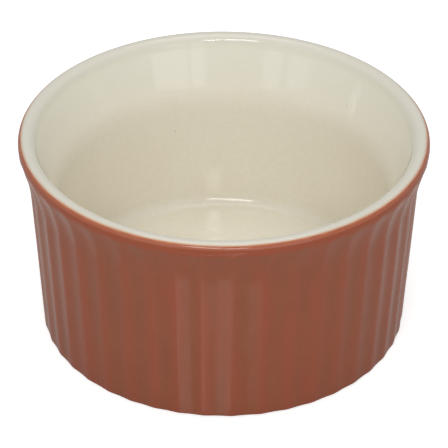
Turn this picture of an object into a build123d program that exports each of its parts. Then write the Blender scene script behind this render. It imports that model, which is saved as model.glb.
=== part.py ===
from build123d import *
from math import atan, cos, degrees, radians, sin, tan
import os

# A ramekin: a small round baking dish in fired clay, with a fluted outside and a plain lip.
# It is one fired piece under coats of glaze, and each coat is modelled as its own solid.
# The origin is on the axis in the plane that the foot stands on, and +Z points up.

# Overall sizes, in millimetres, measured over the glaze
height = 50.0
lip_radius = 47.5

# Lip: a plain rounded bead that stands above the flutes outside and above the flare inside
band_height = 2.7
bead_height = 2.6
lip_width = 4.15
lip_rounding = 1.7
crown_width = 0.25

# Outside wall, measured to the crests of the flutes: bevelled foot, leaning wall, then a flare to the lip
flare_reach = 2.2
flare_height = 12.5
wall_taper = 2.05
foot_edge_width = 0.55
foot_edge_height = 0.7

# Flutes: shallow waves that run up the wall and the flare, and fade out under the lip
flute_count = 44
flute_depth = 0.28
flute_end_height = 1.1

# Hollow, measured over the glaze: flat floor, upright wall, then a flare to the lip
floor_height = 4.6
wall_width = 4.45
cove_radius = 2.8
hollow_flare_height = 14.6
hollow_bend_rounding = 17.0

# Foot ring and the recess inside it, measured over the glaze
foot_ring_width = 4.95
recess_height = 1.2
recess_slope_width = 0.9

# Glaze coats: the foot is wiped bare up to the top of its bevelled edge
glaze_thickness = 0.4
rim_parting_angle = 34.0

# Cuts run past what they cut by this much
overrun = 2.0

# Shape of the outside flare, from its bend at 0 to the lip at 1
flare_steps = 3
flare_bow_share = 1.5
middle_share = 0.5

# Heights and widths that follow from the sizes above
crown_radius = lip_radius - lip_rounding
crown_height = height - lip_rounding
band_bottom = height - band_height
flute_fade_bottom = band_bottom - flute_end_height
bend_height = height - flare_height
wall_bend_radius = lip_radius - flare_reach
wall_foot_radius = wall_bend_radius - wall_taper
foot_edge_radius = wall_foot_radius - foot_edge_width
hollow_rim_radius = lip_radius - lip_width
hollow_radius = wall_foot_radius - wall_width
hollow_bend_height = height - hollow_flare_height
rim_inner_rounding = min(lip_width - lip_rounding, bead_height) - crown_width
hollow_lean = degrees(atan((hollow_rim_radius - hollow_radius) / (hollow_flare_height - bead_height)))
foot_ring_inner_radius = wall_foot_radius - foot_ring_width
wall_middle_radius = (wall_bend_radius + hollow_radius) * middle_share
foot_middle_radius = (wall_foot_radius + hollow_radius) * middle_share


def wall_radius(z):
    """Crest radius of the straight wall, carried on above the bend."""
    rise_share = (z - foot_edge_height) / (bend_height - foot_edge_height)
    return wall_foot_radius + wall_taper * rise_share


def flare_radius(z):
    """Crest radius above the bend, where the wall bows out to meet the lip."""
    climb_share = (z - bend_height) / (band_bottom - bend_height)
    reach = lip_radius - wall_radius(band_bottom)
    return wall_radius(z) + reach * climb_share**2 * (flare_bow_share + (1 - flare_bow_share) * climb_share)


def polar_point(radius, angle):
    """A point at that radius and that angle in degrees from +X."""
    return (radius * cos(radians(angle)), radius * sin(radians(angle)))


def ease(corner, rounding, turn, seen):
    """Round a corner that is seen. Under the glaze, a flat that touches the same rounding does instead."""
    if seen:
        fillet(corner, rounding)
    else:
        chamfer(corner, rounding * tan(radians(turn / 4)) / cos(radians(turn / 2)))


def fluted_section(z, crest_radius, depth):
    """A closed wave round the axis, with one hollow arc and one crest arc to a flute."""
    half_pitch = 360 / flute_count * middle_share
    quarter_pitch = half_pitch * middle_share
    middle_radius = crest_radius - depth * middle_share
    with BuildLine() as flute:
        ThreePointArc(
            polar_point(middle_radius, -quarter_pitch),
            polar_point(crest_radius - depth, 0),
            polar_point(middle_radius, quarter_pitch),
        )
        ThreePointArc(
            polar_point(middle_radius, quarter_pitch),
            polar_point(crest_radius, half_pitch),
            polar_point(middle_radius, half_pitch + quarter_pitch),
        )
    with BuildSketch(Plane.XY.offset(z)) as section:
        with BuildLine():
            with PolarLocations(0, flute_count):
                add(flute.line)
        make_face()
    return section.sketch.face()


def lip_section(coat, bottom):
    """Half section of the plain lip from a bottom height up, less a coat of that thickness."""
    with BuildSketch(Plane.XZ) as section:
        with BuildLine():
            Polyline(
                (0, bottom),
                (lip_radius - coat, bottom),
                (lip_radius - coat, height - coat),
                (0, height - coat),
                close=True,
            )
        make_face()
        outer_edge = section.vertices().sort_by_distance((lip_radius, height))[0]
        ease(outer_edge, lip_rounding - coat, 90, coat == 0)
    return section.sketch


def outside_form(coat, with_foot_edge):
    """The whole outside as a block, less a coat of that thickness, with or without its bevelled foot."""
    rings = []
    if with_foot_edge:
        rings.append(fluted_section(0, foot_edge_radius - coat, flute_depth))
    rings.append(fluted_section(foot_edge_height, wall_foot_radius - coat, flute_depth))
    for step in range(flare_steps + 1):
        z = bend_height + (flute_fade_bottom - bend_height) * step / flare_steps
        rings.append(fluted_section(z, flare_radius(z) - coat, flute_depth))
    rings.append(fluted_section(band_bottom, lip_radius - coat, 0))
    with BuildPart() as form:
        loft(rings, ruled=True)
        revolve(lip_section(coat, band_bottom), axis=Axis.Z)
    return form.part


def hollow_section(coat):
    """Half section of the hollow, open past the rim, widened by a coat of that thickness."""
    with BuildSketch(Plane.XZ) as section:
        with BuildLine():
            Polyline(
                (0, floor_height - coat),
                (hollow_radius + coat, floor_height - coat),
                (hollow_radius + coat, hollow_bend_height),
                (hollow_rim_radius + coat, height - bead_height),
                (hollow_rim_radius + coat, height - coat),
                (lip_radius + overrun, height - coat),
                (lip_radius + overrun, height + overrun),
                (0, height + overrun),
                close=True,
            )
        make_face()
        seen = coat == 0
        cove = section.vertices().sort_by_distance((hollow_radius, floor_height))[0]
        ease(cove, cove_radius + coat, 90, seen)
        bend = section.vertices().sort_by_distance((hollow_radius, hollow_bend_height))[0]
        ease(bend, hollow_bend_rounding, hollow_lean, seen)
        rim = section.vertices().sort_by_distance((hollow_rim_radius, height))[0]
        ease(rim, rim_inner_rounding - coat, 90, seen)
    return section.sketch


def recess_section(coat):
    """Half section of the recess in the underside, widened by a coat of that thickness."""
    with BuildSketch(Plane.XZ) as section:
        with BuildLine():
            Polyline(
                (0, -overrun),
                (foot_ring_inner_radius + coat, -overrun),
                (foot_ring_inner_radius + coat, 0),
                (foot_ring_inner_radius - recess_slope_width + coat, recess_height + coat),
                (0, recess_height + coat),
                close=True,
            )
        make_face()
    return section.sketch


def inner_side_section():
    """Half section of all that lies inward of the middle of the wall, up to where the two colours meet."""
    parting = polar_point(lip_rounding + overrun, 90 - rim_parting_angle)
    with BuildSketch(Plane.XZ) as section:
        with BuildLine():
            Polyline(
                (0, floor_height * middle_share),
                (foot_middle_radius, floor_height * middle_share),
                (wall_middle_radius, bend_height),
                (crown_radius, crown_height),
                (crown_radius + parting[0], crown_height + parting[1]),
                (crown_radius + parting[0], height + overrun),
                (0, height + overrun),
                close=True,
            )
        make_face()
    return section.sketch


# Fired clay body: fluted wall, plain lip, flat floor and a foot ring round a shallow recess
with BuildPart() as stoneware_body:
    add(outside_form(glaze_thickness, True))
    revolve(hollow_section(glaze_thickness), axis=Axis.Z, mode=Mode.SUBTRACT)
    revolve(recess_section(glaze_thickness), axis=Axis.Z, mode=Mode.SUBTRACT)

# Inside glaze: one coat over the floor, the wall of the hollow and the top of the rim
with BuildSketch(Plane.XZ) as bare_rim_section:
    add(lip_section(glaze_thickness, 0))
    add(hollow_section(glaze_thickness), mode=Mode.SUBTRACT)

with BuildPart() as interior_glaze:
    with BuildSketch(Plane.XZ) as interior_coat_section:
        add(lip_section(0, 0))
        add(hollow_section(0), mode=Mode.SUBTRACT)
        add(inner_side_section(), mode=Mode.INTERSECT)
        add(bare_rim_section.sketch, mode=Mode.SUBTRACT)
    revolve(axis=Axis.Z)

# Outside glaze: one coat over the flutes and the lip, from the bare foot to the rim's outer edge
with BuildPart() as exterior_glaze:
    add(outside_form(0, False))
    add(outside_form(glaze_thickness, True), mode=Mode.SUBTRACT)
    revolve(inner_side_section(), axis=Axis.Z, mode=Mode.SUBTRACT)

# Underside glaze: one coat inside the foot ring, above the bare foot
with BuildPart() as base_glaze:
    with BuildSketch(Plane.XZ) as base_coat_section:
        add(recess_section(glaze_thickness))
        add(recess_section(0), mode=Mode.SUBTRACT)
        with Locations((0, foot_edge_height)):
            Rectangle(2 * lip_radius, height, align=(Align.CENTER, Align.MIN), mode=Mode.INTERSECT)
    revolve(axis=Axis.Z)

pieces = {
    "stoneware_body": stoneware_body,
    "interior_glaze": interior_glaze,
    "exterior_glaze": exterior_glaze,
    "base_glaze": base_glaze,
}
os.makedirs("parts", exist_ok=True)
for name, piece in pieces.items():
    piece.part.label = name
    export_step(piece.part, f"parts/{name}.step")
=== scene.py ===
"""A ramekin: a small round baking dish, terracotta glaze over shallow flutes outside, cream glaze inside.

Sizes are in millimetres, as in the part's source, and become metres where vertices, textures and lamps are
made. The dish stands on the floor with its axis on Z, and its front faces -Y.
"""

from math import cos, hypot, pi, radians, sin, tan

import bpy
import numpy as np
from mathutils import Matrix, Vector


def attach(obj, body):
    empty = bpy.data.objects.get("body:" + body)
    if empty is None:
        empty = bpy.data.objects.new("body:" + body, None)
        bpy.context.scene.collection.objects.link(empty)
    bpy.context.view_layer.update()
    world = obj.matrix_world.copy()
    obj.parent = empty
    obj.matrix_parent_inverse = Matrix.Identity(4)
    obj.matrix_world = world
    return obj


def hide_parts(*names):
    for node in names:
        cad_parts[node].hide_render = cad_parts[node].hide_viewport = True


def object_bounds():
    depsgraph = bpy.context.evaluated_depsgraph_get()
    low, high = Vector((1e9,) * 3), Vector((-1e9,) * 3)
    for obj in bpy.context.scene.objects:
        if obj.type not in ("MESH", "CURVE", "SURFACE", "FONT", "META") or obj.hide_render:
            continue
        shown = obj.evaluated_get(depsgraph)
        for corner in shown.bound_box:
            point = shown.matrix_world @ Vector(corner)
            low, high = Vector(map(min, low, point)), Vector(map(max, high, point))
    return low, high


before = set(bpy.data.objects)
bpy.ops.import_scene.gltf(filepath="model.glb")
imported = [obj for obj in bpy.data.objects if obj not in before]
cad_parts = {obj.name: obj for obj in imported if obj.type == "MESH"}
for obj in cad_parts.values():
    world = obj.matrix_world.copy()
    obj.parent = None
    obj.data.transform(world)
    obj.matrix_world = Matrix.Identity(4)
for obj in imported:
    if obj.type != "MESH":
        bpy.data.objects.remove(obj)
cad_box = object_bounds()

MM = 0.001
CAD_HIGH = Vector(cad_box[1]) / MM

# sizes

HEIGHT = CAD_HIGH.z
LIP_RADIUS = CAD_HIGH.x

# Outside wall, measured to the crests of the flutes
FOOT_ROUNDING = 0.7
WALL_FOOT_RADIUS = 43.25
WALL_BEND_RADIUS = 45.3
BEND_HEIGHT = 37.5
FLARE_BOW = 1.5

# Plain lip above the flutes. The two glazes meet on its rounding, PARTING_ANGLE degrees from straight up.
BAND_HEIGHT = 2.8
BAND_EDGE_ROUNDING = 0.08
LIP_ROUNDING = 1.7
RIM_INNER_ROUNDING = 2.2
PARTING_ANGLE = 38.0

# Flutes: waves with narrow crests, shallower at the foot and under the lip. The play of their pitch is in
# degrees, and the play of their depth is a share of the depth.
FLUTE_COUNT = 44
FLUTE_DEPTH = 0.37
FLUTE_CREST_POWER = 0.68
FLUTE_END_HEIGHT = 3.4
FLUTE_END_SHARE = 0.5
FLUTE_FOOT_HEIGHT = 12.0
FLUTE_FOOT_SHARE = 0.55
FLUTE_PITCH_PLAY = 0.7
FLUTE_PITCH_SEED = 1785
FLUTE_DEPTH_PLAY = 0.10
FLUTE_DEPTH_SEED = 6

# Hollow
FLOOR_HEIGHT = 4.6
FLOOR_CROWN = 0.2
FLOOR_RADIUS = 38.8
COVE_RADIUS = 2.8
HOLLOW_BEND_RADIUS = 38.8
HOLLOW_BEND_HEIGHT = 35.4
HOLLOW_BEND_ROUNDING = 17.0
LIP_FOOT_RADIUS = 43.25
LIP_FOOT_HEIGHT = 47.2
LIP_FOOT_ROUNDING = 6.0
HOLLOW_RIM_RADIUS = 44.05

# Underside
FOOT_RING_INNER_RADIUS = 38.3
RECESS_HEIGHT = 1.2
RECESS_SLOPE_WIDTH = 0.9
RECESS_ROUNDING = 0.7

# Glaze: its thickness, the gap that keeps the clay under it from showing through, and where it stops above
# the foot
COAT = 0.4
CLAY_GAP = 0.02
GLAZE_LINE = 0.3

# Wobble of the fired surface: its reach, how often each of its waves goes round the dish, and one more than
# the most half waves that one of them may have from foot to rim
WOBBLE = 0.05
WOBBLE_SEED = 3
WOBBLE_TURNS = (1, 2, 3, 5, 7, 11)
WOBBLE_HALF_WAVES = 4

# Mesh fineness: columns round the dish, steps round each rounding, and rings up the wall and the flare. The
# first ring of the wall stands off the foot's rounding.
COLUMNS_PER_FLUTE = 12
HIDDEN_COLUMNS_PER_FLUTE = 8
PLAIN_COLUMNS_PER_FLUTE = 7
FOOT_STEPS = 8
FIRST_RING_RISE = 0.4
WALL_RINGS = 18
FLARE_RINGS = 52
LIP_STEPS = 14
OUTER_PARTING_STEPS = 10
INNER_PARTING_STEPS = 8
HOLLOW_STEPS = 14
HOLLOW_LONGEST_RUN = 1.5
RECESS_STEPS = 8
RECESS_LONGEST_RUN = 3.0

# Edges that turn by more than this many degrees stay sharp
SHARP_ANGLE = 35.0

# The flutes end this far below the lip's rounding, so that its first ring stays plain
PLAIN_RING_MARGIN = 0.01

# Places that follow from the sizes
BAND_BOTTOM = HEIGHT - BAND_HEIGHT
CROWN_RADIUS = LIP_RADIUS - LIP_ROUNDING
CROWN_HEIGHT = HEIGHT - LIP_ROUNDING
PARTING_RADIUS = CROWN_RADIUS + LIP_ROUNDING * sin(radians(PARTING_ANGLE))
PARTING_HEIGHT = CROWN_HEIGHT + LIP_ROUNDING * cos(radians(PARTING_ANGLE))
WALL_MIDDLE_RADIUS = (WALL_FOOT_RADIUS + FLOOR_RADIUS) / 2
COVE_CLEAR_HEIGHT = HEIGHT / 4


# half sections, as lists of (radius, height)


def arc(centre, radius, start, end, steps):
    """Points on an arc from a start angle to an end angle, in degrees above the outward direction."""
    angles = [radians(start + (end - start) * i / steps) for i in range(steps + 1)]
    return [(centre[0] + radius * cos(a), centre[1] + radius * sin(a)) for a in angles]


def line(start, end, steps):
    """Points on a straight run, without its last one."""
    return [tuple(s + (e - s) * i / steps for s, e in zip(start, end)) for i in range(steps)]


def rounded(corners, steps):
    """An open outline through corners of (radius, height, rounding), with each rounding as an arc."""
    points = [corners[0][:2]]
    for before, corner, after in zip(corners, corners[1:], corners[2:]):
        here = Vector(corner[:2])
        rounding = corner[2]
        back = (Vector(before[:2]) - here).normalized()
        ahead = (Vector(after[:2]) - here).normalized()
        turn = back.angle(ahead) / 2
        middle = here + (back + ahead).normalized() * rounding / sin(turn)
        first = here + back * rounding / tan(turn) - middle
        last = here + ahead * rounding / tan(turn) - middle
        sweep = first.angle_signed(last)
        for i in range(steps + 1):
            swing = Matrix.Rotation(-sweep * i / steps, 2)
            points.append(tuple(middle + swing @ first))
    points.append(corners[-1][:2])
    return points


def divided(points, longest):
    """The same outline with its long runs divided, so that shading and wobble have points to follow."""
    finer = []
    for start, end in zip(points, points[1:]):
        run = hypot(end[0] - start[0], end[1] - start[1])
        finer += line(start, end, max(1, round(run / longest)))
    return finer + [points[-1]]


def wall_radius(z):
    """Crest radius of the straight wall, carried on above the bend."""
    return WALL_FOOT_RADIUS + (WALL_BEND_RADIUS - WALL_FOOT_RADIUS) * z / BEND_HEIGHT


def crest_radius(z):
    """Crest radius of the wall and the flare. Above the bottom of the lip it is more than the lip's radius,
    which banded holds it to."""
    climb = max(0, (z - BEND_HEIGHT) / (BAND_BOTTOM - BEND_HEIGHT))
    reach = LIP_RADIUS - wall_radius(BAND_BOTTOM)
    return wall_radius(z) + reach * climb**2 * (FLARE_BOW + (1 - FLARE_BOW) * climb)


def foot_rounding(coat):
    """Rounding of the foot under a coat of that thickness, and the radius that its centre lies at."""
    rounding = FOOT_ROUNDING - coat / 2
    return rounding, WALL_FOOT_RADIUS - coat - rounding


def lip_arc(coat, start, end, steps):
    """Part of the lip's rounding, less a coat of that thickness."""
    return arc((CROWN_RADIUS, CROWN_HEIGHT), LIP_ROUNDING - coat, start, end, steps)


def wall_outline(coat):
    """From the foot's rounding up the wall and the flare to the lip's rounding, less a coat."""
    rounding, centre_radius = foot_rounding(coat)
    foot = arc((centre_radius, FOOT_ROUNDING), rounding, -90, 0, FOOT_STEPS)
    wall_heights = np.linspace(FOOT_ROUNDING + FIRST_RING_RISE, BEND_HEIGHT, WALL_RINGS)
    flare_heights = np.linspace(BEND_HEIGHT, CROWN_HEIGHT, FLARE_RINGS)[1:-1]
    return foot + [(crest_radius(z) - coat, z) for z in [*wall_heights, *flare_heights]]


def hollow_outline(coat):
    """From the floor's middle out to the wall, up the flare and over the rim to the crown, less a coat."""
    corners = [
        (0, FLOOR_HEIGHT - coat, 0),
        (FLOOR_RADIUS + coat, FLOOR_HEIGHT - coat, COVE_RADIUS + coat),
        (HOLLOW_BEND_RADIUS + coat, HOLLOW_BEND_HEIGHT, HOLLOW_BEND_ROUNDING),
        (LIP_FOOT_RADIUS + coat, LIP_FOOT_HEIGHT, LIP_FOOT_ROUNDING),
        (HOLLOW_RIM_RADIUS + coat, HEIGHT - coat, RIM_INNER_ROUNDING - coat),
        (CROWN_RADIUS, HEIGHT - coat, 0),
    ]
    points = divided(rounded(corners, HOLLOW_STEPS), HOLLOW_LONGEST_RUN)
    return [(r, z + floor_rise(r) if z < COVE_CLEAR_HEIGHT else z) for r, z in points]


def floor_rise(radius):
    """How far the floor, a little higher in its middle, stands above its edge."""
    return FLOOR_CROWN * max(0, 1 - (radius / (FLOOR_RADIUS - COVE_RADIUS)) ** 2)


def recess_outline(coat):
    """From the foot ring's inner edge up to the recess's ceiling and in to the axis, widened by a coat."""
    ceiling_radius = FOOT_RING_INNER_RADIUS - RECESS_SLOPE_WIDTH
    corners = [
        (FOOT_RING_INNER_RADIUS + coat, 0, 0),
        (ceiling_radius + coat, RECESS_HEIGHT + coat, RECESS_ROUNDING + coat),
        (0, RECESS_HEIGHT + coat, 0),
    ]
    return divided(rounded(corners, RECESS_STEPS), RECESS_LONGEST_RUN)


# meshes


def drift(angle, seed, waves=(1, 2, 3, 5, 8)):
    """A smooth random value round the dish, mostly between -1 and 1."""
    phases = np.random.default_rng(seed).uniform(0, 2 * pi, len(waves))
    return sum(np.sin(count * angle + phase) for count, phase in zip(waves, phases)) / len(waves) ** 0.5


def flute_wave(angle):
    """0 on a crest and near 1 in the middle of a hollow. A hollow faces +X and, with 44 of them, -Y.
    As on a pressed and glazed dish, the flutes are a little uneven in pitch and depth."""
    uneven_angle = angle + radians(FLUTE_PITCH_PLAY) * drift(angle, FLUTE_PITCH_SEED)
    hollow = (0.5 + 0.5 * np.cos(FLUTE_COUNT * uneven_angle)) ** FLUTE_CREST_POWER
    return hollow * (1 + FLUTE_DEPTH_PLAY * drift(angle, FLUTE_DEPTH_SEED))


def flute_depth(z):
    """How far the wall falls back at a height: full up the wall, and shallower at the foot and the lip."""
    climb = np.clip((BAND_BOTTOM - z) / FLUTE_END_HEIGHT, 0, 1)
    fade = FLUTE_END_SHARE + (1 - FLUTE_END_SHARE) * climb * climb * (3 - 2 * climb)
    foot = FLUTE_FOOT_SHARE + (1 - FLUTE_FOOT_SHARE) * np.clip(z / FLUTE_FOOT_HEIGHT, 0, 1)
    return FLUTE_DEPTH * foot * fade


def banded(radius, limit):
    """The flare, held to the radius of the lip, with a small rounding where they meet."""
    blend = np.clip(1 - abs(radius - limit) / BAND_EDGE_ROUNDING, 0, 1)
    return np.minimum(radius, limit) - blend * blend * BAND_EDGE_ROUNDING / 4


def unevenness(angle, z):
    """A slow wobble of a fired and glazed surface, between 0 and 1."""
    rng = np.random.default_rng(WOBBLE_SEED)
    total = np.zeros_like(angle * z)
    for turns in WOBBLE_TURNS:
        half_waves = rng.integers(0, WOBBLE_HALF_WAVES)
        phase = rng.uniform(0, 2 * pi, 2)
        upwards = np.cos(half_waves * z / HEIGHT * pi + phase[1])
        total += np.sin(turns * angle + phase[0]) * upwards / turns**0.5
    return 0.5 + 0.5 * np.tanh(total)


def ring_faces(ring_count, columns, closed):
    """Faces between rings of vertices. The last ring joins the first one if the section is closed."""
    faces = []
    for ring in range(ring_count if closed else ring_count - 1):
        low, high = ring * columns, (ring + 1) % ring_count * columns
        for column in range(columns):
            ahead = (column + 1) % columns
            faces.append((low + column, low + ahead, high + ahead, high + column))
    return faces


def pole_faces(ring_count, columns):
    """Fans from the first and last rings to the two poles, which are the two vertices after the rings."""
    first, last = ring_count * columns, ring_count * columns + 1
    high = (ring_count - 1) * columns
    faces = []
    for column in range(columns):
        ahead = (column + 1) % columns
        faces.append((first, ahead, column))
        faces.append((last, high + column, high + ahead))
    return faces


def swept(name, outline, material, coats=None, per_flute=PLAIN_COLUMNS_PER_FLUTE, wobbling=True):
    """A skin made by carrying a half section round the axis. A section that starts and ends on the axis is
    closed there by a pole, and any other section is a closed loop. With coats, which say how deep under the
    glazed surface each point of the outline lies, the outside is fluted, and the attribute "crest" says how
    near a crest of the flutes each vertex lies."""
    columns = FLUTE_COUNT * per_flute
    profile = np.array(outline)
    angle = np.arange(columns) * 2 * pi / columns
    radius = profile[:, :1] * np.ones(columns)
    height = profile[:, 1:] * np.ones(columns)
    if coats is not None:
        wave = flute_wave(angle)
        limit = LIP_RADIUS - np.array(coats)[:, None]
        outer = (radius > WALL_MIDDLE_RADIUS) & (height < CROWN_HEIGHT - PLAIN_RING_MARGIN)
        radius = np.where(outer, banded(radius - flute_depth(height) * wave, limit), radius)
    if wobbling:
        radius = radius - WOBBLE * unevenness(angle, height)
    closed = profile[0][0] > 0
    rings = np.stack([radius * np.cos(angle), radius * np.sin(angle), height], axis=-1) * MM
    poles = []
    if not closed:
        poles = [tuple(rings[0, 0]), tuple(rings[-1, 0])]
        rings = rings[1:-1]
    vertices = [tuple(v) for v in rings.reshape(-1, 3).tolist()] + poles
    faces = ring_faces(len(rings), columns, closed)
    if not closed:
        faces += pole_faces(len(rings), columns)
    mesh = bpy.data.meshes.new(name)
    mesh.from_pydata(vertices, [], faces)
    mesh.validate()
    mesh.shade_smooth()
    mesh.set_sharp_from_angle(angle=radians(SHARP_ANGLE))
    mesh.materials.append(material)
    if coats is not None:
        crest = mesh.attributes.new("crest", "FLOAT", "POINT")
        crest.data.foreach_set("value", np.resize(np.clip(1 - wave, 0, 1), len(vertices)))
    piece = bpy.data.objects.new(name, mesh)
    bpy.context.scene.collection.objects.link(piece)
    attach(piece, "root")
    return piece


# materials


def linear(red, green, blue):
    """A colour as seen on screen, 0 to 255, as the linear values that shaders take."""
    channels = [c / 255 for c in (red, green, blue)]
    return [c / 12.92 if c <= 0.04045 else ((c + 0.055) / 1.055) ** 2.4 for c in channels] + [1]


def metres(span):
    """A span in millimetres, in metres."""
    return span[0] * MM, span[1] * MM


# What most of a noise texture's values lie between, and a factor's whole range
NOISE = (0.3, 0.7)
FULL = (0, 1)
WHITE = (1, 1, 1, 1)

# Colour sockets of a Mix node by number, since its other types have sockets of the same names
MIX_FIRST, MIX_SECOND, MIX_RESULT = 6, 7, 2


class Shader:
    """A node tree that is written one node a line. Its methods return the output to go on from."""

    def __init__(self, name):
        self.material = bpy.data.materials.new(name)
        self.material.use_nodes = True
        self.nodes = self.material.node_tree.nodes
        self.links = self.material.node_tree.links
        self.nodes.clear()
        self.output = self.nodes.new("ShaderNodeOutputMaterial")

    def fill(self, socket, value):
        if isinstance(value, bpy.types.NodeSocket):
            self.links.new(value, socket)
        else:
            socket.default_value = value

    def add(self, kind, inputs=None, **settings):
        node = self.nodes.new("ShaderNode" + kind)
        for key, value in settings.items():
            setattr(node, key, value)
        for key, value in (inputs or {}).items():
            self.fill(node.inputs[key], value)
        return node

    def place(self):
        return self.add("TexCoord").outputs["Object"]

    def split(self, vector):
        """The X, Y and Z of a vector."""
        parts = self.add("SeparateXYZ", {"Vector": vector}).outputs
        return parts["X"], parts["Y"], parts["Z"]

    def join(self, x, y, z=0.0):
        return self.add("CombineXYZ", {"X": x, "Y": y, "Z": z}).outputs["Vector"]

    def math(self, operation, first, second):
        return self.add("Math", {0: first, 1: second}, operation=operation).outputs["Value"]

    def noise(self, scale, detail=3.0, roughness=0.5, place=None):
        inputs = {"Scale": scale, "Detail": detail, "Roughness": roughness}
        inputs["Vector"] = self.place() if place is None else place
        return self.add("TexNoise", inputs).outputs["Fac"]

    def span(self, value, between, to=FULL, smooth=False):
        """A value that lies between two limits, as one that goes from one level to another."""
        limits = {"From Min": between[0], "From Max": between[1], "To Min": to[0], "To Max": to[1]}
        kind = "SMOOTHSTEP" if smooth else "LINEAR"
        return self.add("MapRange", {"Value": value, **limits}, interpolation_type=kind).outputs["Result"]

    def mix(self, factor, first, second):
        node = self.add("Mix", {"Factor": factor}, data_type="RGBA")
        self.fill(node.inputs[MIX_FIRST], first)
        self.fill(node.inputs[MIX_SECOND], second)
        return node.outputs[MIX_RESULT]

    def bump(self, height, strength, distance, normal=None):
        inputs = {"Height": height, "Strength": strength, "Distance": distance}
        if normal:
            inputs["Normal"] = normal
        return self.add("Bump", inputs).outputs["Normal"]

    def principled(self, inputs):
        return self.add("BsdfPrincipled", inputs).outputs["BSDF"]

    def finish(self, surface):
        self.links.new(surface, self.output.inputs["Surface"])
        return self.material


# Terracotta glaze: colours, each laid over the one before
TERRACOTTA = linear(139, 79, 54)
TERRACOTTA_MOTTLE = linear(144, 83, 57)
TERRACOTTA_RUN = linear(153, 77, 53)
TERRACOTTA_GRAIN = linear(130, 68, 45)
TERRACOTTA_CREST = linear(155, 78, 53)
TERRACOTTA_LIP = linear(151, 75, 48)
# Partly painted sheen: the pale edge is thinner glaze and also a painted highlight on the lip's outer
# rounding
TERRACOTTA_PALE_AND_SHEEN = linear(184, 112, 86)
TERRACOTTA_BLEED = linear(206, 132, 92)

# Terracotta glaze: heights between which a tone or a finish comes in
CREST_FADE = (BEND_HEIGHT, BAND_BOTTOM - 1.0)
LIP_TONE = (BAND_BOTTOM - 0.6, BAND_BOTTOM + 0.3)
PALE_EDGE_AND_SHEEN = (PARTING_HEIGHT - 1.0, PARTING_HEIGHT - 0.55)
OUTER_BLEED = (PARTING_HEIGHT - 0.3, PARTING_HEIGHT + 0.05)
SMOOTHER_CROWN = (CROWN_HEIGHT - 0.6, CROWN_HEIGHT + 0.2)

# Terracotta glaze: its runs come from noise that sees heights squeezed to this share, which draws them out
# upwards, and its edge is ragged by this much
RUN_SQUEEZE = 0.12
OUTER_RAGGED = (-0.12, 0.12)


def terracotta_glaze():
    """Satin terracotta: faint mottling and upright runs, warmer on the crests and the lip, paler towards the
    orange bleed where it meets the cream, partly thinner glaze and partly a painted sheen, and a fine
    orange-peel surface."""
    shader = Shader("terracotta_glaze")
    x, y, z = shader.split(shader.place())
    mottle = shader.noise(scale=140, detail=4, roughness=0.6)
    colour = shader.mix(shader.span(mottle, NOISE), TERRACOTTA, TERRACOTTA_MOTTLE)
    drawn = shader.join(x, y, shader.math("MULTIPLY", z, RUN_SQUEEZE))
    runs = shader.noise(scale=330, detail=2, place=drawn)
    colour = shader.mix(shader.span(runs, (0.42, 0.62), to=(0, 0.5)), colour, TERRACOTTA_RUN)
    grain = shader.noise(scale=1500, detail=2, roughness=0.6)
    colour = shader.mix(shader.span(grain, (0.35, 0.65), to=(0, 0.25)), colour, TERRACOTTA_GRAIN)

    crest = shader.add("Attribute", attribute_name="crest").outputs["Fac"]
    crest = shader.span(crest, (0.1, 0.85), smooth=True)
    crest_fade = shader.span(z, metres(CREST_FADE), to=(0.42, 0.08), smooth=True)
    colour = shader.mix(shader.math("MULTIPLY", crest, crest_fade), colour, TERRACOTTA_CREST)
    colour = shader.mix(shader.span(z, metres(LIP_TONE), smooth=True), colour, TERRACOTTA_LIP)
    # Partly painted sheen: paler on the lip's outer rounding, for thinner glaze and a painted highlight
    # there
    pale_and_sheen = shader.span(z, metres(PALE_EDGE_AND_SHEEN), to=(0, 0.5), smooth=True)
    colour = shader.mix(pale_and_sheen, colour, TERRACOTTA_PALE_AND_SHEEN)
    ragged = shader.span(shader.noise(scale=300, detail=2), NOISE, to=metres(OUTER_RAGGED))
    rise = shader.math("ADD", z, ragged)
    bleed = shader.span(rise, metres(OUTER_BLEED), to=(0, 0.7), smooth=True)
    colour = shader.mix(bleed, colour, TERRACOTTA_BLEED)

    satin = shader.span(mottle, NOISE, to=(0.17, 0.22))
    smoother = shader.span(z, metres(SMOOTHER_CROWN), to=(0, 0.08))
    peel = shader.bump(shader.noise(scale=1100, detail=2), strength=0.12, distance=0.05 * MM)
    peel = shader.bump(shader.noise(scale=240, detail=2), strength=0.2, distance=0.1 * MM, normal=peel)
    roughness = shader.math("SUBTRACT", satin, smoother)
    surface = shader.principled({"Base Color": colour, "Roughness": roughness, "IOR": 1.42, "Normal": peel})
    return shader.finish(surface)


# Cream glaze: colours, each laid over the one before
CREAM = linear(238, 231, 215)
CREAM_DRIFT = linear(241, 236, 221)
CREAM_GRAIN = linear(222, 214, 192)
CREAM_PINHOLE = linear(150, 132, 104)
# The next two are painted light: a cooler tone for the flare's light and reflections, and a greyer, darker
# rim for its shade and the sky it reflects
CREAM_UPPER_PAINTED_COOL = linear(234, 232, 217)
CREAM_RIM_PAINTED_SHADE = linear(226, 222, 208)
CREAM_THIN = linear(206, 178, 150)
CREAM_BLEED = linear(204, 130, 88)

# Cream glaze: heights between which painted light comes in, cooler up the wall and shaded on the rim, and
# radii between which the tones of its edge do
UPPER_PAINTED_COOL = (32.0, 43.0)
RIM_PAINTED_SHADE = (HEIGHT - 2.5, HEIGHT - 0.6)
THIN_EDGE = (PARTING_RADIUS - 0.8, PARTING_RADIUS - 0.2)
INNER_BLEED = (PARTING_RADIUS - 0.36, PARTING_RADIUS + 0.06)

# Cream glaze: how far its edge is ragged, how far from its middle a pinhole starts to fade and ends, as
# shares of a cell, the share of cells without one, and how strongly its colour is laid on
INNER_RAGGED = (-0.06, 0.06)
PINHOLE_EDGE = (0.02, 0.05)
PINHOLE_FREE_SHARE = 0.7
PINHOLE_STRENGTH = 0.5


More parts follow.
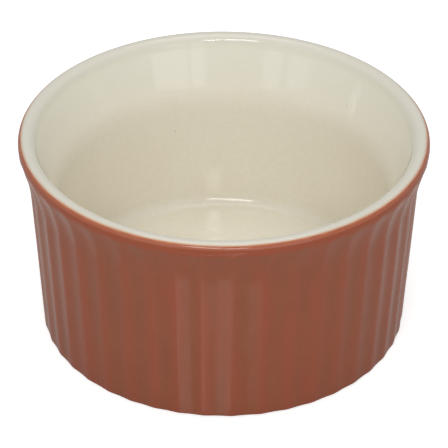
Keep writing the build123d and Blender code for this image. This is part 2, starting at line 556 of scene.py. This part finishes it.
def cream_glaze():
    """Glossy cream: slow drifts of tone, rare pinholes, painted light that makes it cooler up the flare and
    greyer and darker on the rim, and thinning to an orange bleed where it meets the outside glaze."""
    shader = Shader("cream_glaze")
    place = shader.place()
    x, y, z = shader.split(place)
    radius = shader.add("VectorMath", {0: shader.join(x, y)}, operation="LENGTH").outputs["Value"]
    slow = shader.noise(scale=35, detail=2)
    colour = shader.mix(shader.span(slow, NOISE), CREAM, CREAM_DRIFT)
    grain = shader.noise(scale=900, detail=2)
    colour = shader.mix(shader.span(grain, (0.4, 0.6), to=(0, 0.12)), colour, CREAM_GRAIN)

    cells = shader.add("TexVoronoi", {"Vector": place, "Scale": 160.0, "Randomness": 1.0})
    random = shader.add("SeparateColor", {"Color": cells.outputs["Color"]}).outputs["Red"]
    chosen = shader.math("GREATER_THAN", random, PINHOLE_FREE_SHARE)
    pinhole = shader.span(cells.outputs["Distance"], PINHOLE_EDGE, to=(PINHOLE_STRENGTH, 0))
    colour = shader.mix(shader.math("MULTIPLY", pinhole, chosen), colour, CREAM_PINHOLE)

    # Painted light: cooler up the flare and greyer and darker on the rim, standing in for light, shade and
    # reflections there
    upper_painted_cool = shader.span(z, metres(UPPER_PAINTED_COOL), to=(0, 0.65), smooth=True)
    colour = shader.mix(upper_painted_cool, colour, CREAM_UPPER_PAINTED_COOL)
    colour = shader.mix(shader.span(z, metres(RIM_PAINTED_SHADE), smooth=True), colour, CREAM_RIM_PAINTED_SHADE)
    ragged = shader.span(shader.noise(scale=160, detail=2), NOISE, to=metres(INNER_RAGGED))
    reach = shader.math("ADD", radius, ragged)
    thin = shader.span(reach, metres(THIN_EDGE), to=(0, 0.5), smooth=True)
    colour = shader.mix(thin, colour, CREAM_THIN)
    bleed = shader.span(reach, metres(INNER_BLEED), to=(0, 0.8), smooth=True)
    colour = shader.mix(bleed, colour, CREAM_BLEED)

    ripple = shader.bump(shader.noise(scale=150, detail=1), strength=0.12, distance=0.12 * MM)
    gloss = shader.span(slow, NOISE, to=(0.045, 0.065))
    surface = shader.principled({"Base Color": colour, "Roughness": gloss, "IOR": 1.5, "Normal": ripple})
    return shader.finish(surface)


# Bare clay: its buff, what that drifts to, and the dark grain in it
CLAY = linear(196, 172, 142)
CLAY_DRIFT = linear(209, 188, 160)
CLAY_GRAIN = linear(140, 104, 78)


def fired_clay():
    """Bare buff stoneware, matt and finely speckled, as on a wiped foot ring."""
    shader = Shader("fired_clay")
    slow = shader.noise(scale=60, detail=3)
    grain = shader.noise(scale=2200, detail=3, roughness=0.7)
    colour = shader.mix(shader.span(slow, NOISE), CLAY, CLAY_DRIFT)
    colour = shader.mix(shader.span(grain, (0.58, 0.7), to=(0, 0.6)), colour, CLAY_GRAIN)
    matt = shader.span(grain, NOISE, to=(0.8, 0.92))
    pitted = shader.bump(grain, strength=0.35, distance=0.1 * MM)
    surface = shader.principled({"Base Color": colour, "Roughness": matt, "Normal": pitted})
    return shader.finish(surface)


# Table: its white and the warm tone that reflections see, each with what it drifts to, and the light that
# lifts it for the camera
TABLE_WHITE = linear(230, 230, 230)
TABLE_WHITE_DRIFT = linear(234, 234, 234)
TABLE_WARM = linear(222, 211, 205)
TABLE_WARM_DRIFT = linear(226, 215, 209)
TABLE_LIFT = 0.56


def white_floor():
    """A white table that catches the dish's soft shadow. The camera sees it lifted to the white of the
    backdrop, and reflections see it warm and polished."""
    shader = Shader("white_floor")
    path = shader.add("LightPath").outputs
    seen = shader.math("MAXIMUM", path["Is Camera Ray"], path["Is Transmission Ray"])
    tone = shader.span(shader.noise(scale=9, detail=2), NOISE)
    white = shader.mix(tone, TABLE_WHITE, TABLE_WHITE_DRIFT)
    plain = shader.add("BsdfDiffuse", {"Color": white}).outputs["BSDF"]
    bright = shader.add("Emission", {"Color": WHITE, "Strength": TABLE_LIFT}).outputs["Emission"]
    lifted = shader.add("AddShader", {0: plain, 1: bright}).outputs["Shader"]
    surface = shader.add("MixShader", {0: seen, 1: plain, 2: lifted}).outputs["Shader"]
    warm = shader.mix(tone, TABLE_WARM, TABLE_WARM_DRIFT)
    polished = shader.principled({"Base Color": warm, "Roughness": 0.05, "IOR": 1.75})
    mirrored = {0: path["Is Glossy Ray"], 1: surface, 2: polished}
    return shader.finish(shader.add("MixShader", mirrored).outputs["Shader"])


# the dish

terracotta = terracotta_glaze()
cream = cream_glaze()
clay = fired_clay()


def outside_run(coat):
    """The outside from the glaze line up to where the two colours meet."""
    rounding, centre_radius = foot_rounding(coat)
    dip = FOOT_ROUNDING - GLAZE_LINE
    first = (centre_radius + (rounding**2 - dip**2) ** 0.5, GLAZE_LINE)
    above_line = [(r, z) for r, z in wall_outline(coat) if z > GLAZE_LINE]
    return [first] + above_line + lip_arc(coat, 0, 90 - PARTING_ANGLE, OUTER_PARTING_STEPS)


def inside_run(coat):
    """The hollow from the floor's middle up and over the rim to where the two colours meet."""
    return hollow_outline(coat) + lip_arc(coat, 90, 90 - PARTING_ANGLE, INNER_PARTING_STEPS)[1:]


def recess_run(coat):
    """The recess from its glaze line up and in to the axis."""
    return [(FOOT_RING_INNER_RADIUS + coat, GLAZE_LINE)] + recess_outline(coat)[1:]


exterior = swept(
    "exterior_glaze_skin",
    outside_run(0) + outside_run(COAT)[::-1],
    terracotta,
    coats=[0] * len(outside_run(0)) + [COAT] * len(outside_run(COAT)),
    per_flute=COLUMNS_PER_FLUTE,
)
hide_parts("exterior_glaze")

interior = swept("interior_glaze_skin", inside_run(0) + inside_run(COAT)[::-1], cream)
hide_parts("interior_glaze")

base = swept(
    "base_glaze_skin",
    recess_run(0)[::-1] + recess_run(COAT),
    terracotta,
    wobbling=False,
)
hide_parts("base_glaze")

under = COAT + CLAY_GAP
body_outside = wall_outline(under) + lip_arc(under, 0, 90, LIP_STEPS)
body_outline = hollow_outline(under) + body_outside[::-1][1:] + recess_outline(under)
body = swept(
    "stoneware_body_form",
    body_outline,
    clay,
    coats=[under] * len(body_outline),
    per_flute=HIDDEN_COLUMNS_PER_FLUTE,
)
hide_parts("stoneware_body")


# camera, floor and light

# Camera: where the photograph's perspective puts it, in millimetres and degrees, and its lens
CAMERA_REACH = 467.5
CAMERA_HEIGHT = 339.0
CAMERA_AZIMUTH = 0.62
CAMERA_PITCH = 33.98
CAMERA_ROLL = 0.29
CAMERA_SIDE = 0.1
FOCAL_PIXELS = 2383.0
PHOTO_PIXELS = 448
SENSOR = 36.0

camera_data = bpy.data.cameras.new("camera")
camera_data.sensor_width = SENSOR
camera_data.lens = SENSOR * FOCAL_PIXELS / PHOTO_PIXELS
camera = bpy.data.objects.new("camera", camera_data)
bpy.context.scene.collection.objects.link(camera)
turn = Matrix.Rotation(radians(CAMERA_AZIMUTH), 4, "Z")
tilt = Matrix.Rotation(radians(90 - CAMERA_PITCH), 4, "X")
roll = Matrix.Rotation(radians(CAMERA_ROLL), 4, "Z")
camera.location = turn @ Vector((CAMERA_SIDE, -CAMERA_REACH, CAMERA_HEIGHT)) * MM
camera.rotation_euler = (turn @ tilt @ roll).to_euler()
bpy.context.scene.camera = camera

# Table: a square of this many metres each way from the dish
TABLE_REACH = 6.0
table_corners = [(x * TABLE_REACH, y * TABLE_REACH, 0) for x, y in ((-1, -1), (1, -1), (1, 1), (-1, 1))]
floor_mesh = bpy.data.meshes.new("floor")
floor_mesh.from_pydata(table_corners, [], [(0, 1, 2, 3)])
floor_mesh.materials.append(white_floor())
floor = bpy.data.objects.new("floor", floor_mesh)
bpy.context.scene.collection.objects.link(floor)

# Softboxes, aimed at the rim's level on the axis: azimuth to the right of the camera and elevation in
# degrees, distance, width and height in millimetres, and brightness as seen in gloss, with 1 as white
SOFTBOXES = {
    "key_right": (7.2, 34.0, 1800.0, 290.0, 240.0, 15.0),
    "key_left": (-11.5, 40.0, 900.0, 265.0, 220.0, 8.5),
    "panel_right": (34.0, 15.0, 1000.0, 400.0, 440.0, 0.92),
    "panel_right_inner": (16.3, 15.0, 1000.0, 150.0, 440.0, 1.0),
    "panel_left": (-30.0, 17.0, 1000.0, 200.0, 380.0, 0.68),
    "panel_left_outer": (-47.0, 17.0, 1000.0, 240.0, 380.0, 0.6),
    "overhead": (180.0, 80.0, 1100.0, 700.0, 700.0, 1.45),
}
AIM = Vector((0, 0, HEIGHT * MM))

for name, (azimuth, elevation, distance, width, tall, brightness) in SOFTBOXES.items():
    lamp = bpy.data.lights.new(name, "AREA")
    lamp.shape = "RECTANGLE"
    lamp.size = width * MM
    lamp.size_y = tall * MM
    lamp.energy = brightness * pi * lamp.size * lamp.size_y
    softbox = bpy.data.objects.new(name, lamp)
    bpy.context.scene.collection.objects.link(softbox)
    bearing = radians(azimuth + CAMERA_AZIMUTH)
    rise = radians(elevation)
    away = Vector((cos(rise) * sin(bearing), -cos(rise) * cos(bearing), sin(rise)))
    softbox.location = AIM + away * distance * MM
    softbox.rotation_euler = away.to_track_quat("Z", "Y").to_euler()

# World: white where the camera sees it, and this bright as light on the dish
WORLD_LEVEL = 0.495

world = bpy.data.worlds.new("world")
world.use_nodes = True
tree = world.node_tree
tree.nodes.clear()
path = tree.nodes.new("ShaderNodeLightPath")
seen = tree.nodes.new("ShaderNodeMath")
seen.operation = "MAXIMUM"
tree.links.new(path.outputs["Is Camera Ray"], seen.inputs[0])
tree.links.new(path.outputs["Is Transmission Ray"], seen.inputs[1])
level = tree.nodes.new("ShaderNodeMapRange")
level.inputs["To Min"].default_value = WORLD_LEVEL
level.inputs["To Max"].default_value = 1.0
tree.links.new(seen.outputs["Value"], level.inputs["Value"])
sky = tree.nodes.new("ShaderNodeBackground")
sky.inputs["Color"].default_value = WHITE
tree.links.new(level.outputs["Result"], sky.inputs["Strength"])
world_output = tree.nodes.new("ShaderNodeOutputWorld")
tree.links.new(sky.outputs["Background"], world_output.inputs["Surface"])
bpy.context.scene.world = world

bpy.context.scene.view_settings.view_transform = "Standard"
